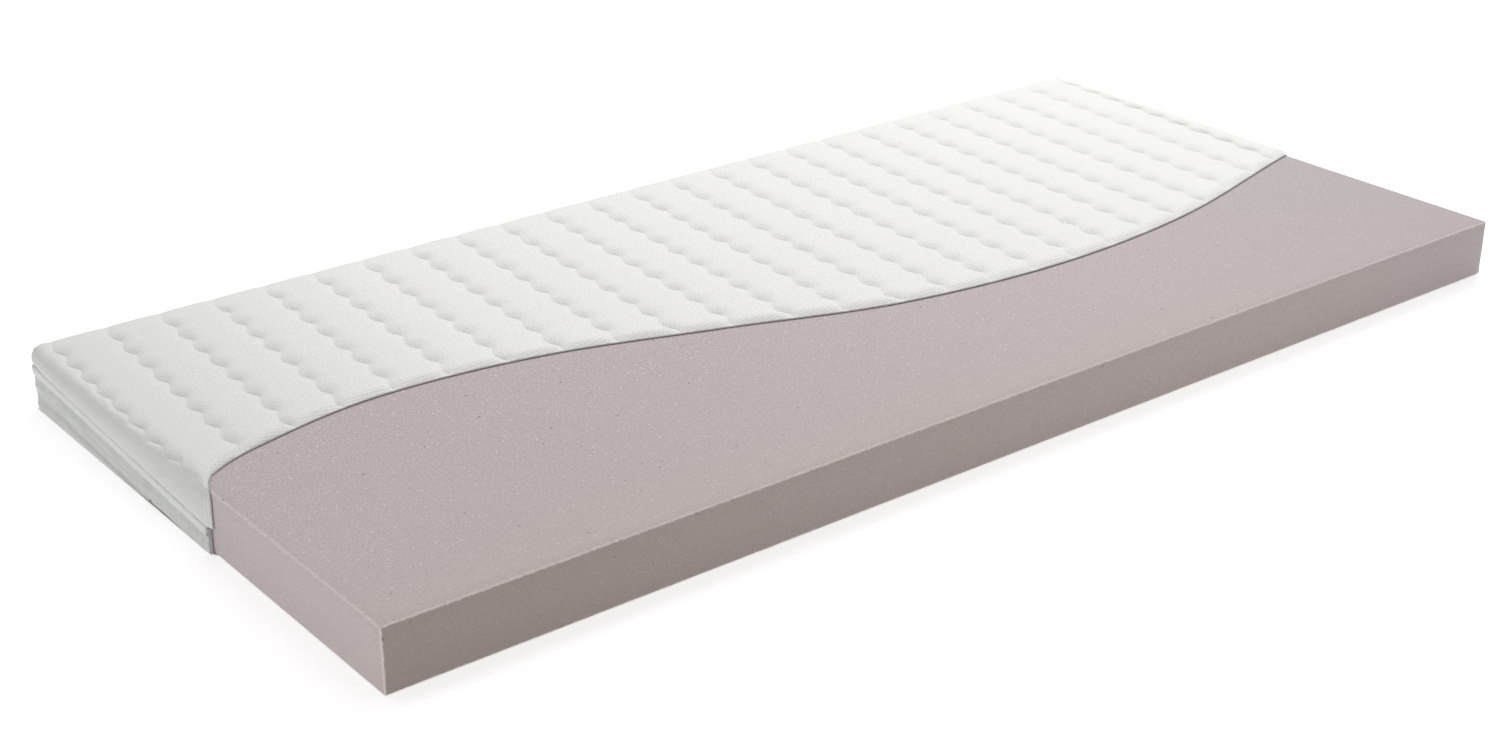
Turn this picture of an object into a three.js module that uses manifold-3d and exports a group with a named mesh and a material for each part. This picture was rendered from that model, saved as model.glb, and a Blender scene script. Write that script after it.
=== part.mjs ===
// A pressure relief mattress shown with its removable cover cut away: a plain foam core, and a quilted
// cover that wraps its top, both ends and far long side. Millimetres, +Z up, length along X, and the
// bare long side of the foam towards -Y.
import * as THREE from 'three';
import { mergeVertices } from 'three/addons/utils/BufferGeometryUtils.js';
import Module from 'manifold-3d';

const wasm = await Module();
wasm.setup();

// Foam core
const coreLength = 1900;
const coreWidth = 900;
const coreHeight = 85;
const coreEdgeRadius = 3;
const coreCornerRadius = 3.5;

// Clearance between neighbouring pieces
const gap = 0.3;

// Base panel, the thin cloth under the core
const basePanelThickness = 1.2;
const basePanelInset = 3;

// Quilted top of the cover, in layers from the foam outwards
const backingThickness = 0.6;
const waddingThickness = 5;
const knitThickness = 1.2;

// Wavy quilting rows across the width. The panel sits a little askew, so its rows lean.
const rowCount = 25;
const rowPitch = 77.9;
const rowWaveLength = 53;
const rowWaveHeight = 6;
const rowLean = 0.057;
const rowInset = 27;
const threadRadius = 0.6;
const rowStartClearance = 6;
const rowEdgeClearance = 8;

// Piping between the quilted top and the ribbed border. Its centre line is level along the far side,
// and slopes on both ends because the panel sits askew.
const pipingHeight = { far: 59.5, left: 30.5, right: 71.5 };
const pipingHalfHeight = 6.5;
const pipingSkin = 1.3;
const pipingEndClearance = 1.6;

// Ribbed border and its zip, as distances outwards from the faces of the core
const borderInner = 2.3;
const borderOuter = 5.4;
const tapeInner = 1.2;
const tapeOuter = 2;
const zipDrop = 35.5;
const zipHalfWindow = 3.1;
const tapeHalfWidth = 8;
const coilRadius = 1.1;
const coilSplit = 0.6;
const zipStopLength = 4;
const zipLowestHeight = 5;

// Zip slider and its pull tab
const sliderLength = 16;
const sliderHeight = 8;
const sliderBackInner = 0.4;
const sliderBackOuter = 0.9;
const sliderFrontInner = 5.7;
const sliderFrontOuter = 6.9;
const sliderWebLength = 8;
const sliderWebHeight = 0.6;
const sliderEndMargin = 70;
const lugThickness = 0.8;
const lugHalfLength = 1.6;
const pinRadius = 0.6;
const barrelInnerRadius = 0.9;
const barrelOuterRadius = 1.6;
const barrelHalfLength = 1.6;
const pullLength = 25;
const pullHalfWidth = 3.5;
const pullNeckLength = 3.5;
const pullNeckHalfWidth = 1.4;
const pullThickness = 1;
const pullHoleRadius = 1.2;
const pullHoleInset = 4;

// Line that the cover is cut along, seen from above. It starts and ends outside the ends.
const cutLine = [
  [-1000, -62],
  [-956, -60],
  [-932, -28],
  [-850, 8],
  [-670, 41],
  [-440, 18],
  [-200, -57],
  [50, -141],
  [330, -174],
  [620, -151],
  [950, -68],
  [1090, -60],
];
const cutLineSteps = 44;
const bindingThickness = 1.6;

// Roundness of the facets
const cornerSteps = 3;
const roundSides = 8;

// Worked-out sizes
const coreHalfLength = coreLength / 2;
const coreHalfWidth = coreWidth / 2;
const coreBottom = basePanelThickness + gap;
const coreTop = coreBottom + coreHeight;
const backingInner = gap;
const backingOuter = backingInner + backingThickness;
const waddingInner = backingOuter + gap;
const waddingOuter = waddingInner + waddingThickness;
const knitInner = waddingOuter + gap;
const knitOuter = knitInner + knitThickness;
const pipingReach = (backingInner + knitOuter) / 2;
const pipingHalfDepth = (knitOuter - backingInner) / 2;
const coilReach = tapeOuter + gap + coilRadius;
const barrelReach = sliderFrontOuter + gap + barrelOuterRadius;
const cornerStart = coreHalfWidth - coreCornerRadius;
const cutAtEnds = -60;
const farReach = barrelReach + barrelOuterRadius;

// Tools larger than the mattress, for cutting
const wellBelow = -200;
const wellAbove = 300;
const wellOutside = 1100;
const wedgeLength = 200;
const wedgeTop = 290;

const finishes = {
  foam: { color: 0xbab0b3, roughness: 0.95, metalness: 0 },
  knit: { color: 0xeeede8, roughness: 0.9, metalness: 0 },
  wadding: { color: 0xf7f7f5, roughness: 1, metalness: 0 },
  backing: { color: 0xe4e4e2, roughness: 0.95, metalness: 0 },
  thread: { color: 0xf4f3ef, roughness: 0.7, metalness: 0 },
  border: { color: 0xbcc1b9, roughness: 0.92, metalness: 0 },
  binding: { color: 0x8d8a8c, roughness: 0.85, metalness: 0 },
  base: { color: 0xd9dad6, roughness: 0.95, metalness: 0 },
  zip: { color: 0xe0ddd4, roughness: 0.6, metalness: 0 },
  metal: { color: 0xb9bbbd, roughness: 0.35, metalness: 0.9 },
};

function toSolid(geometry) {
  const bare = geometry.clone();
  bare.deleteAttribute('normal');
  bare.deleteAttribute('uv');
  const merged = mergeVertices(bare);
  return new wasm.Manifold(new wasm.Mesh({
    numProp: 3,
    vertProperties: merged.attributes.position.array,
    triVerts: new Uint32Array(merged.index.array),
  }));
}

function toGeometry(solid) {
  const mesh = solid.getMesh();
  const geometry = new THREE.BufferGeometry();
  geometry.setAttribute('position', new THREE.Float32BufferAttribute(mesh.vertProperties, mesh.numProp));
  geometry.setIndex(new THREE.BufferAttribute(new Uint32Array(mesh.triVerts), 1));
  geometry.computeVertexNormals();
  return geometry;
}

// A box as a solid, from its lowest to its highest corner.
function box(low, high) {
  const geometry = new THREE.BoxGeometry(high[0] - low[0], high[1] - low[1], high[2] - low[2]);
  geometry.translate((low[0] + high[0]) / 2, (low[1] + high[1]) / 2, (low[2] + high[2]) / 2);
  return toSolid(geometry);
}

function heightsBetween(low, high) {
  return box([-wellOutside, -wellOutside, low], [wellOutside, wellOutside, high]);
}

function roundedRectangle(halfX, halfY, radius) {
  const shape = new THREE.Shape();
  shape.absarc(halfX - radius, halfY - radius, radius, 0, Math.PI / 2);
  shape.absarc(-halfX + radius, halfY - radius, radius, Math.PI / 2, Math.PI);
  shape.absarc(-halfX + radius, -halfY + radius, radius, Math.PI, Math.PI * 1.5);
  shape.absarc(halfX - radius, -halfY + radius, radius, Math.PI * 1.5, Math.PI * 2);
  return shape;
}

// The core's own block grown by a reach on its sides and top, with its bottom at a height.
function grownBlock(reach, bottom) {
  const edge = coreEdgeRadius + reach;
  const outline = roundedRectangle(
    coreHalfLength - coreEdgeRadius,
    coreHalfWidth - coreEdgeRadius,
    coreCornerRadius - coreEdgeRadius,
  );
  const geometry = new THREE.ExtrudeGeometry(outline, {
    depth: coreTop + reach - bottom - 2 * edge,
    bevelThickness: edge,
    bevelSize: edge,
    bevelSegments: cornerSteps,
    curveSegments: cornerSteps,
  });
  geometry.translate(0, 0, bottom + edge);
  return geometry;
}

// A sheet that follows the top and sides of the core between two distances from it.
function sheetAround(inner, outer) {
  return toSolid(grownBlock(outer, wellBelow)).subtract(toSolid(grownBlock(inner, wellBelow)));
}

// Everything behind the cut line, moved towards +Y by an offset.
function behindCut(offset) {
  const curve = new THREE.SplineCurve(cutLine.map(([x, y]) => new THREE.Vector2(x, y + offset)));
  const shape = new THREE.Shape(curve.getPoints(cutLineSteps));
  shape.lineTo(wellOutside, wellOutside);
  shape.lineTo(-wellOutside, wellOutside);
  const geometry = new THREE.ExtrudeGeometry(shape, { depth: wellAbove - wellBelow, bevelEnabled: false });
  geometry.translate(0, 0, wellBelow);
  return toSolid(geometry);
}

// Height of the piping's centre line on an end of the mattress ("left" or "right"), at a place across it.
function pipingHeightAt(end, y) {
  const share = Math.min(1, (cornerStart - y) / (cornerStart - cutAtEnds));
  return pipingHeight.far + (pipingHeight[end] - pipingHeight.far) * Math.max(0, share);
}

// Everything on one end of the mattress between the piping's sloping line, moved up by an offset, and a
// height well above or below it.
function endWedge(end, offset, closingHeight) {
  const cutHeight = pipingHeight[end] + offset;
  const shape = new THREE.Shape();
  shape.moveTo(cornerStart, pipingHeight.far + offset);
  shape.lineTo(cutAtEnds, cutHeight);
  shape.lineTo(-wellOutside, cutHeight);
  shape.lineTo(-wellOutside, closingHeight);
  shape.lineTo(cornerStart, closingHeight);
  const geometry = new THREE.ExtrudeGeometry(shape, { depth: wedgeLength, bevelEnabled: false });
  geometry.rotateX(Math.PI / 2);
  geometry.rotateZ(Math.PI / 2);
  geometry.translate(end === 'left' ? -wellOutside : wellOutside - wedgeLength, 0, 0);
  return toSolid(geometry);
}

// Everything above a line that runs parallel to the piping's centre line, an offset above it. The line
// falls towards the cut on the left end and rises towards it on the right end.
function abovePiping(offset) {
  return heightsBetween(pipingHeight.far + offset, wellAbove)
    .add(endWedge('left', offset, wedgeTop))
    .subtract(endWedge('right', offset, wellBelow));
}

// A curve through stations, with one step of a tube between each two of them.
class StationCurve extends THREE.Curve {
  constructor(stations) {
    super();
    this.stations = stations;
  }

  getPoint(t, target = new THREE.Vector3()) {
    const place = Math.min(Math.max(t, 0), 1) * (this.stations.length - 1);
    const index = Math.min(Math.floor(place), this.stations.length - 2);
    return target.lerpVectors(this.stations[index], this.stations[index + 1], place - index);
  }

  getUtoTmapping(u) {
    return u;
  }
}

function tubeAlong(stations, section) {
  return new THREE.ExtrudeGeometry(section, {
    extrudePath: new StationCurve(stations),
    steps: stations.length - 1,
    curveSegments: roundSides,
  });
}

// Stations around the left end, far side and right end, at a distance from the core and an offset above
// the piping's centre line. It starts and ends at the given places across the ends.
function aroundCover(reach, offset, startY, endY) {
  const stations = [];
  const radius = coreCornerRadius + reach;
  const centreX = coreHalfLength - coreCornerRadius;
  const farHeight = pipingHeight.far + offset;
  stations.push(new THREE.Vector3(-coreHalfLength - reach, startY, pipingHeightAt('left', startY) + offset));
  for (const side of [-1, 1]) {
    for (let step = 0; step <= cornerSteps; step += 1) {
      const turn = (step / cornerSteps) * (Math.PI / 2);
      const along = side < 0 ? Math.cos(turn) : Math.sin(turn);
      const across = side < 0 ? Math.sin(turn) : Math.cos(turn);
      stations.push(new THREE.Vector3(side * (centreX + radius * along), cornerStart + radius * across, farHeight));
    }
  }
  stations.push(new THREE.Vector3(coreHalfLength + reach, endY, pipingHeightAt('right', endY) + offset));
  return stations;
}

function piece(name, shape, finish) {
  const geometry = shape instanceof THREE.BufferGeometry ? shape : toGeometry(shape);
  const mesh = new THREE.Mesh(geometry, new THREE.MeshStandardMaterial(finish));
  mesh.name = name;
  return mesh;
}

function foamCore() {
  return piece('foam_core', grownBlock(0, coreBottom), finishes.foam);
}

// The base panel reaches under the border where the cover is whole, and stops short of the bare foam.
function basePanel() {
  const underBorder = toSolid(grownBlock(borderOuter, wellBelow)).intersect(behindCut(0));
  const underFoam = toSolid(grownBlock(-basePanelInset, wellBelow));
  const solid = underBorder.add(underFoam).intersect(heightsBetween(0, basePanelThickness));
  return piece('base_panel', solid, finishes.base);
}

function quiltedLayer(name, inner, outer, finish) {
  const solid = sheetAround(inner, outer)
    .intersect(behindCut(gap))
    .intersect(abovePiping(pipingHalfHeight + gap));
  return piece(name, solid, finish);
}

function quiltedLayers() {
  return [
    quiltedLayer('cover_top_backing', backingInner, backingOuter, finishes.backing),
    quiltedLayer('cover_top_wadding', waddingInner, waddingOuter, finishes.wadding),
    quiltedLayer('cover_top_knit', knitInner, knitOuter, finishes.knit),
  ];
}

// Place across the mattress where the cut line passes a place along it.
function cutAt(x) {
  const curve = new THREE.SplineCurve(cutLine.map(([px, py]) => new THREE.Vector2(px, py)));
  const points = curve.getPoints(cutLineSteps);
  const next = points.findIndex((point) => point.x > x);
  const share = (x - points[next - 1].x) / (points[next].x - points[next - 1].x);
  return points[next - 1].y + share * (points[next].y - points[next - 1].y);
}

// One row of quilting thread. Each half wave is one straight run from crest to crest.
function quiltingRow(index) {
  const stations = [];
  const height = coreTop + knitOuter + gap + threadRadius;
  const farX = -coreHalfLength - knitOuter + rowInset + index * rowPitch;
  const farY = coreHalfWidth - coreEdgeRadius;
  const leftLimit = -coreHalfLength + rowEdgeClearance;
  for (let half = 0; ; half += 1) {
    const y = farY - (half * rowWaveLength) / 2;
    const side = half % 2 === 0 ? 1 : -1;
    const x = farX - rowLean * (farY - y) + side * rowWaveHeight;
    if (x < leftLimit || y < cutAt(x) + rowStartClearance) break;
    stations.push(new THREE.Vector3(x, y, height));
  }
  const section = new THREE.Shape().absarc(0, 0, threadRadius, 0, Math.PI * 2);
  const geometry = new THREE.ExtrudeGeometry(section, {
    extrudePath: new StationCurve(stations),
    steps: stations.length - 1,
    curveSegments: 2,
  });
  return piece(`quilting_row_${String(index + 1).padStart(2, '0')}`, geometry, finishes.thread);
}

function quiltingRows() {
  return Array.from({ length: rowCount }, (_, index) => quiltingRow(index));
}

function ellipse(halfDepth, halfHeight) {
  return new THREE.Shape().absellipse(0, 0, halfDepth, halfHeight, 0, Math.PI * 2);
}

// The piping is a cord in a sleeve of cloth, and both are flat ovals.
function piping() {
  const startY = cutAt(-coreHalfLength) + pipingEndClearance;
  const endY = cutAt(coreHalfLength) + pipingEndClearance;
  const route = aroundCover(pipingReach, 0, startY, endY);
  const sleeve = ellipse(pipingHalfDepth, pipingHalfHeight);
  sleeve.holes.push(ellipse(pipingHalfDepth - pipingSkin, pipingHalfHeight - pipingSkin));
  const cordInset = pipingSkin + gap;
  const cord = ellipse(pipingHalfDepth - cordInset, pipingHalfHeight - cordInset);
  return [
    piece('piping_sleeve', tubeAlong(route, sleeve), finishes.knit),
    piece('piping_cord', tubeAlong(route, cord), finishes.wadding),
  ];
}

// A strip on the border between two offsets from the zip's centre line, clear of the base panel.
function borderStrip(inner, outer, low, high) {
  return sheetAround(inner, outer)
    .intersect(behindCut(gap))
    .intersect(abovePiping(low - zipDrop))
    .subtract(abovePiping(high - zipDrop))
    .intersect(heightsBetween(coreBottom, wellAbove));
}

function borderBands() {
  const upperTop = zipDrop - pipingHalfHeight - gap;
  const lowest = -pipingHeight.right;
  return [
    piece('border_upper_band', borderStrip(borderInner, borderOuter, zipHalfWindow, upperTop), finishes.border),
    piece('border_lower_band', borderStrip(borderInner, borderOuter, lowest, -zipHalfWindow), finishes.border),
  ];
}

function zipTapes() {
  return [
    piece('zip_tape_upper', borderStrip(tapeInner, tapeOuter, coilSplit, tapeHalfWidth), finishes.zip),
    piece('zip_tape_lower', borderStrip(tapeInner, tapeOuter, -tapeHalfWidth, -coilSplit), finishes.zip),
  ];
}

// Place across the left end where the zip rises clear of the base panel.
function zipStart() {
  const slope = (pipingHeight.far - pipingHeight.left) / (cornerStart - cutAtEnds);
  return cornerStart - (pipingHeight.far - zipDrop - zipLowestHeight) / slope;
}

function zipCoils() {
  const stopSpace = zipStopLength + 2 * gap;
  const section = new THREE.Shape().absarc(0, 0, coilRadius, 0, Math.PI * 2);
  const endY = cutAt(coreHalfLength) + gap + stopSpace;
  return [['upper', 1], ['lower', -1]].map(([name, side]) => {
    const offset = side * (coilSplit + coilRadius) - zipDrop;
    const route = aroundCover(coilReach, offset, zipStart(), endY);
    return piece(`zip_coil_${name}`, tubeAlong(route, section), finishes.zip);
  });
}

// The stops are small clips on the tape, past both ends of the coils.
function zipStops() {
  const halfHeight = coilSplit + 2 * coilRadius;
  const geometry = new THREE.BoxGeometry(2 * coilRadius, zipStopLength, 2 * halfHeight);
  const startStop = piece('zip_stop_start', geometry, finishes.metal);
  const startY = zipStart() - gap - zipStopLength / 2;
  startStop.position.set(-coreHalfLength - coilReach, startY, coreBottom + 2 * gap + halfHeight);
  const endStop = piece('zip_stop_end', geometry.clone(), finishes.metal);
  const endY = cutAt(coreHalfLength) + 2 * gap + zipStopLength / 2;
  endStop.position.set(coreHalfLength + coilReach, endY, pipingHeightAt('right', endY) - zipDrop);
  return [startStop, endStop];
}

// A flat outline standing in the XZ plane, between two distances outwards along Y.
function upright(shape, inner, outer) {
  const geometry = new THREE.ExtrudeGeometry(shape, {
    depth: outer - inner,
    bevelEnabled: false,
    curveSegments: cornerSteps,
  });
  geometry.rotateX(Math.PI / 2);
  geometry.translate(0, outer, 0);
  return toSolid(geometry);
}

// The slider's two plates lie in front of and behind the coils. A thin web passes between the coils.
function zipSlider() {
  const plate = roundedRectangle(sliderLength / 2, sliderHeight / 2, sliderHeight / 4);
  const lugInner = barrelHalfLength + gap;
  const lugOuter = lugInner + lugThickness;
  const lugTop = barrelReach + pinRadius + lugThickness;
  const halfWeb = sliderWebHeight / 2;
  const pin = new THREE.CylinderGeometry(pinRadius, pinRadius, 2 * lugOuter, roundSides);
  pin.rotateX(Math.PI / 2);
  pin.translate(0, barrelReach, 0);
  const solid = upright(plate, sliderFrontInner, sliderFrontOuter)
    .add(upright(plate, sliderBackInner, sliderBackOuter))
    .add(box([-sliderWebLength / 2, sliderBackInner, -halfWeb], [sliderWebLength / 2, sliderFrontOuter, halfWeb]))
    .add(box([-lugHalfLength, sliderFrontInner, lugInner], [lugHalfLength, lugTop, lugOuter]))
    .add(box([-lugHalfLength, sliderFrontInner, -lugOuter], [lugHalfLength, lugTop, -lugInner]))
    .add(toSolid(pin));
  return piece('zip_slider', solid, finishes.metal);
}

function zipPullTab() {
  const shape = new THREE.Shape();
  shape.moveTo(barrelInnerRadius + gap, -pullNeckHalfWidth);
  shape.lineTo(pullNeckLength, -pullNeckHalfWidth);
  shape.lineTo(pullNeckLength + pullNeckHalfWidth, -pullHalfWidth);
  shape.absarc(pullLength - pullHalfWidth, 0, pullHalfWidth, -Math.PI / 2, Math.PI / 2);
  shape.lineTo(pullNeckLength + pullNeckHalfWidth, pullHalfWidth);
  shape.lineTo(pullNeckLength, pullNeckHalfWidth);
  shape.lineTo(barrelInnerRadius + gap, pullNeckHalfWidth);
  shape.holes.push(new THREE.Path().absarc(pullLength - pullHoleInset, 0, pullHoleRadius, 0, Math.PI * 2));
  const profile = [
    [barrelInnerRadius, -barrelHalfLength],
    [barrelOuterRadius, -barrelHalfLength],
    [barrelOuterRadius, barrelHalfLength],
    [barrelInnerRadius, barrelHalfLength],
    [barrelInnerRadius, -barrelHalfLength],
  ];
  const barrel = new THREE.LatheGeometry(profile.map(([x, y]) => new THREE.Vector2(x, y)), roundSides * 2);
  barrel.rotateX(Math.PI / 2);
  const tab = upright(shape, -pullThickness / 2, pullThickness / 2);
  const mesh = piece('zip_pull_tab', tab.add(toSolid(barrel)), finishes.metal);
  mesh.position.set(0, barrelReach, 0);
  return mesh;
}

function sliderAssembly() {
  const group = new THREE.Group();
  group.add(zipSlider(), zipPullTab());
  group.position.set(coreHalfLength - sliderEndMargin, coreHalfWidth, pipingHeight.far - zipDrop);
  return group;
}

// The binding closes the cut edge of the cover over the top and down both ends. The lower band on the
// right end has a short length of its own, because it stays behind when the top is lifted off.
function cutEdgeBindings() {
  const strip = sheetAround(backingInner, knitOuter)
    .intersect(behindCut(-bindingThickness))
    .subtract(behindCut(0))
    .intersect(heightsBetween(coreBottom, wellAbove));
  const upper = strip.intersect(abovePiping(zipHalfWindow - zipDrop));
  const rightHalf = box([0, -wellOutside, 0], [wellOutside, wellOutside, wellAbove]);
  const lower = strip.subtract(abovePiping(-zipHalfWindow - zipDrop)).intersect(rightHalf);
  return [
    piece('cut_edge_binding', upper, finishes.binding),
    piece('cut_edge_binding_lower', lower, finishes.binding),
  ];
}

const mattress = new THREE.Group();
mattress.add(
  foamCore(),
  basePanel(),
  ...quiltedLayers(),
  ...quiltingRows(),
  ...piping(),
  ...borderBands(),
  ...zipTapes(),
  ...zipCoils(),
  ...zipStops(),
  sliderAssembly(),
  ...cutEdgeBindings(),
);
// The origin is at the middle of the whole part's box, so the core stands a little towards -Y.
mattress.position.y = -farReach / 2;

export default mattress;
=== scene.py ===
"""A pressure relief mattress with its quilted cover cut away to show the foam core.

Lengths are metres. The shapes are worked out around the middle of the foam core, with the length along
X and the bare long side towards -Y, and each piece is moved into the frame when its mesh is made.
"""
import math

import bpy
import bmesh
import numpy as np
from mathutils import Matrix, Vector


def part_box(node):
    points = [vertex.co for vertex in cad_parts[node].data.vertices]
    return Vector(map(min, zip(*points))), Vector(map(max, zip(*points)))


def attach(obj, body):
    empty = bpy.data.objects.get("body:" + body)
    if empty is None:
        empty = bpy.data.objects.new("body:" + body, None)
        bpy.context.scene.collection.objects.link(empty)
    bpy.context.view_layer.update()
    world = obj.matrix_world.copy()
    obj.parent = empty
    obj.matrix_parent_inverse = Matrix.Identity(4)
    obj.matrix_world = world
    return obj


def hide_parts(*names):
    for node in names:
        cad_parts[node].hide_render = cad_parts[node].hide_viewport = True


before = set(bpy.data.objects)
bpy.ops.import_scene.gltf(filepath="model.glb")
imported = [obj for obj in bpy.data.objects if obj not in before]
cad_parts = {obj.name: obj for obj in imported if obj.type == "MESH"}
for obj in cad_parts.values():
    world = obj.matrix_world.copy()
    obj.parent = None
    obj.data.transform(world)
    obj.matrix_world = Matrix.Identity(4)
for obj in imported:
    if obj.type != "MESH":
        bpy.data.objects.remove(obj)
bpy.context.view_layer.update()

# Foam core, as the frame has it
CORE_LOW, CORE_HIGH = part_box("foam_core")
CORE_MIDDLE = (CORE_LOW + CORE_HIGH) / 2
HALF_LENGTH = (CORE_HIGH.x - CORE_LOW.x) / 2
HALF_WIDTH = (CORE_HIGH.y - CORE_LOW.y) / 2
CORE_BOTTOM = CORE_LOW.z
CORE_TOP = CORE_HIGH.z
CORE_EDGE = 0.0024
FOAM_CELL = 0.020
FOAM_INSET = 0.00002
FOAM_UNEVENNESS = 0.00018

# Line that the cover is cut along, seen from above
CUT_LINE = np.array([
    (-1.000, -0.062), (-0.956, -0.060), (-0.932, -0.028), (-0.850, 0.008), (-0.670, 0.041),
    (-0.440, 0.018), (-0.200, -0.057), (0.050, -0.141), (0.330, -0.174), (0.620, -0.151),
    (0.950, -0.068), (1.090, -0.060),
])
CUT_STEPS = 24
CUT_ROUNDS = 40
CUT_AT_ENDS = -0.060

# Wavy quilting rows. The panel sits a little askew, so its rows lean.
ROW_COUNT = 25
ROW_PITCH = 0.0779
ROW_FIRST = -0.9307
ROW_FAR = 0.447
ROW_LEAN = 0.057
WAVE_LENGTH = 0.053
WAVE_HEIGHT = 0.0042
WAVE_FADE = 0.012
ROW_RISE = 0.0038
END_ROLL = 0.45
ARCH_LOW = 0.84
ARCH_ROUNDNESS = 0.8
SHALLOW_SHARE = 0.55
CUT_PINCH = 0.08
CUT_PINCH_REACH = 0.011
SEAM_PINCH = 0.76
SEAM_PINCH_REACH = 0.016
SHOULDER_SHALLOW = 0.75
SHOULDER_STRETCH = 0.30
PUFF_UNEVENNESS = 0.06
CHANNEL_STEPS = np.array([1.1, 2.0, 3.6, 6.8, 11.0, 14.0])
COLUMNS_PER_CHANNEL = 2 * len(CHANNEL_STEPS)
FAR_AWAY = 1.0

# Cloth simulation of the knit
SETTLE_FRAMES = 12
SETTLE_LIMIT = 0.0012
SETTLE_CLOTH = {
    "quality": 4,
    "mass": 0.0006,
    "tension_stiffness": 12,
    "compression_stiffness": 6,
    "shear_stiffness": 3,
    "bending_stiffness": 0.02,
    "air_damping": 4,
    "use_pressure": True,
    "uniform_pressure_force": 300,
    "shrink_min": -0.002,
}

# Shoulders of the cover, a bend whose centre line runs inside the edges of the core
SHOULDER = 0.0085
SHOULDER_LENGTH = 0.028
BEND_X = HALF_LENGTH - SHOULDER
BEND_Y = HALF_WIDTH - SHOULDER
BEND_Z = CORE_TOP - SHOULDER
SHOULDER_STARTS = BEND_Y - 0.040
SHOULDER_ENDS = BEND_Y + 0.006
ROLL_FADES = BEND_Y - 0.060
TIGHT_BEND = 5.0
FULL_BEND = 2.2

# Layers of the quilted panel, as distances outwards from the core
VALLEY_REACH = 0.0022
CROWN_REACH = 0.0078
BACKING_INNER = 0.0003
BACKING_OUTER = 0.0007
WADDING_INNER = 0.00085
KNIT_THICKNESS = 0.0007
LAYER_GAP = 0.00012

# Piping, at heights that slope along the ends because the panel sits askew
PIPING_FAR = 0.0595
PIPING_LEFT = 0.0305
PIPING_RIGHT = 0.0715
PIPING_HALF_HEIGHT = 0.0065
PIPING_HALF_DEPTH = 0.0037
PIPING_REACH = 0.0040
PIPING_SKIN = 0.0009
PIPING_GIRTH = 0.034
PIPING_SIDES = 20
PIPING_STEP = 0.004
PIPING_WOBBLE = 0.0005
PIPING_PULL = 0.00022
CORD_SHARE = 0.9
STRANDS = 3
STRAND_DEPTH = 0.00012
STRAND_PITCH = 0.0022
CORNER_RADIUS = 0.0035
CORNER_START = HALF_WIDTH - CORNER_RADIUS
GAP = 0.0003

# Border and its zip, whose middle line runs this far below the piping's
ZIP_DROP = 0.0355
ZIP_HALF_WINDOW = 0.0022
TAPE_STEP = 0.006
TAPE_HALF_WIDTH = 0.008
TAPE_FROM_MIDDLE = 0.0006
TAPE_REACHES = (0.0026, 0.0019)
COIL_REACH = 0.0041
COIL_FROM_MIDDLE = 0.0011
COIL_RADIUS = 0.00075
COIL_WIRE = 0.00045
COIL_PITCH = 0.0018
COIL_SAMPLES = 7
LOWEST_COIL = 0.005
STOP_SPACE = 0.0046
RIB_PITCH = 0.003
RIB_DEPTH = 0.00034
RIB_SAMPLES = 4
BORDER_TOP = ZIP_DROP - PIPING_HALF_HEIGHT - GAP
BORDER_REACH = 0.0048
BORDER_THICKNESS = 0.0007
BORDER_BULGE = 0.0009
BORDER_SLACK = 0.0006
HEM_DIP = 0.0002
HEM_SHARE = 0.12
LEAST_BAND = 0.0012
LEAST_TAPE = 0.0008

# Base panel
BASE_INSET = 0.003
BASE_LIFT = 0.00025
BASE_WRINKLE = 0.00012

# Stitches, each a bar of thread with a short space before the next
STITCH_PITCH = 0.0040
STITCH_SPACE = 0.0007
STITCH_LIFT = 0.00012
STITCH_SIDES = 5
STITCH_PLACES = np.array([0.0, 0.22, 0.78, 1.0])
STITCH_RADII = 0.00033 * np.array([0.45, 1.0, 1.0, 0.45])
STITCH_DIPS = 0.0003 * np.array([1.0, 0.0, 0.0, 1.0])
STITCHES_FROM_CUT = 0.004
STITCHES_PAST_BEND = 0.030

# Binding along the cut, with a loop of thread every pitch
BINDING_HALF_DEPTH = 0.0006
BINDING_FORWARD = 0.00065
BINDING_LOW = 0.0006
BINDING_HIGH = 0.0053
BINDING_UNDER_KNIT = 0.0004
BINDING_SIDES = 10
BINDING_SPACE = 0.0016
LOOP_PITCH = 0.0024
LOOP_SAMPLES = 4
LOOP_BUMP = 0.10
LOOP_RISE = 0.08


# ---- meshes

def grid_faces(rows, columns, first=0, flip=False, around=False):
    """Quads between the points of a grid, whose columns may close on themselves."""
    index = first + np.arange(rows * columns).reshape(rows, columns)
    if around:
        index = np.concatenate([index, index[:, :1]], axis=1)
    quads = np.stack([index[:-1, :-1], index[:-1, 1:], index[1:, 1:], index[1:, :-1]], axis=-1)
    quads = quads.reshape(-1, 4)
    return quads[:, ::-1] if flip else quads


def rim_faces(rows, columns, second):
    """Quads that join the border of a grid to the border of a second grid of the same size."""
    index = np.arange(rows * columns).reshape(rows, columns)
    loop = np.concatenate([index[0, :-1], index[:-1, -1], index[-1, :0:-1], index[:0:-1, 0]])
    following = np.roll(loop, -1)
    return np.stack([following, loop, loop + second, following + second], axis=-1)


def shell(outer, inner):
    """Points and faces of a closed sheet between two grids of points."""
    rows, columns = outer.shape[:2]
    count = rows * columns
    points = np.concatenate([outer.reshape(-1, 3), inner.reshape(-1, 3)])
    faces = np.concatenate([
        grid_faces(rows, columns),
        grid_faces(rows, columns, count, flip=True),
        rim_faces(rows, columns, count),
    ])
    return points, faces


def tube(rings):
    """Points and faces of a closed bar through rings of points."""
    rows, columns = rings.shape[:2]
    faces = grid_faces(rows, columns, around=True).tolist()
    faces.append(list(range(columns))[::-1])
    faces.append(list(range((rows - 1) * columns, rows * columns)))
    return rings.reshape(-1, 3), faces


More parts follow.
